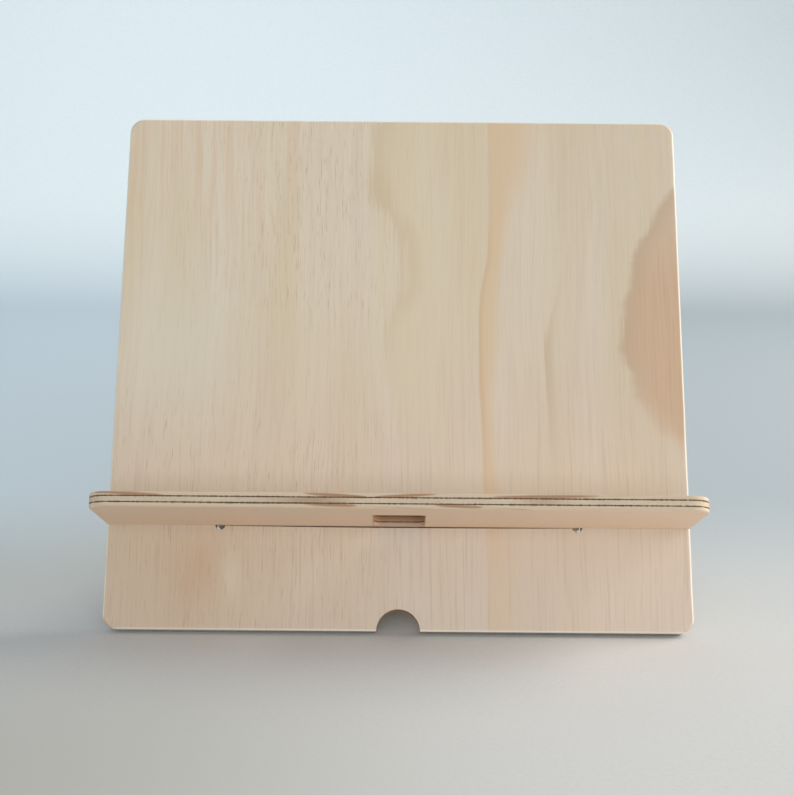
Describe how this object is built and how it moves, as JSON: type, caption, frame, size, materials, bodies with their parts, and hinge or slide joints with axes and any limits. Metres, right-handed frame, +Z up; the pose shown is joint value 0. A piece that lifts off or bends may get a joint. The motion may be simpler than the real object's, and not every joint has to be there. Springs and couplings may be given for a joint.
{
  "type": "quran stand",
  "caption": "Slot-together plywood stand that holds a Quran or other book open at a slant; the ledge slides out of the backboard for flat storage.",
  "frame": {"origin": "at table height, below the middle of the stand's width and of its depth", "axes": "+X along the stand's width, which is its longest side and along which its two halves mirror each other; +Y away from the reader, who stands at -Y; +Z up"},
  "size_m": [0.3, 0.1636, 0.2565],
  "materials": {
    "pine_face_backboard": "sanded bare pine, grain up the slope",
    "pine_face_ledge": "sanded bare pine, grain along the width",
    "pine_core_veneer": "bare pine laid across the face grain, seen only at the edges",
    "glue_line": "dark resin-soaked wood between the veneers"
  },
  "bodies": {
    "backboard": {"backboard_rear_veneer": "pine_face_backboard", "backboard_rear_glue_line": "glue_line", "backboard_core_veneer": "pine_core_veneer", "backboard_front_glue_line": "glue_line", "backboard_front_veneer": "pine_face_backboard"},
    "ledge": {"ledge_bottom_veneer": "pine_face_ledge", "ledge_lower_glue_line": "glue_line", "ledge_core_veneer": "pine_core_veneer", "ledge_upper_glue_line": "glue_line", "ledge_top_veneer": "pine_face_ledge"}
  },
  "joints": [
    {"name": "ledge_slide", "type": "slide", "parent": "backboard", "child": "ledge", "axis": [0, -0.9063, 0.4226], "range_m": [0, 0.128]}
  ]
}
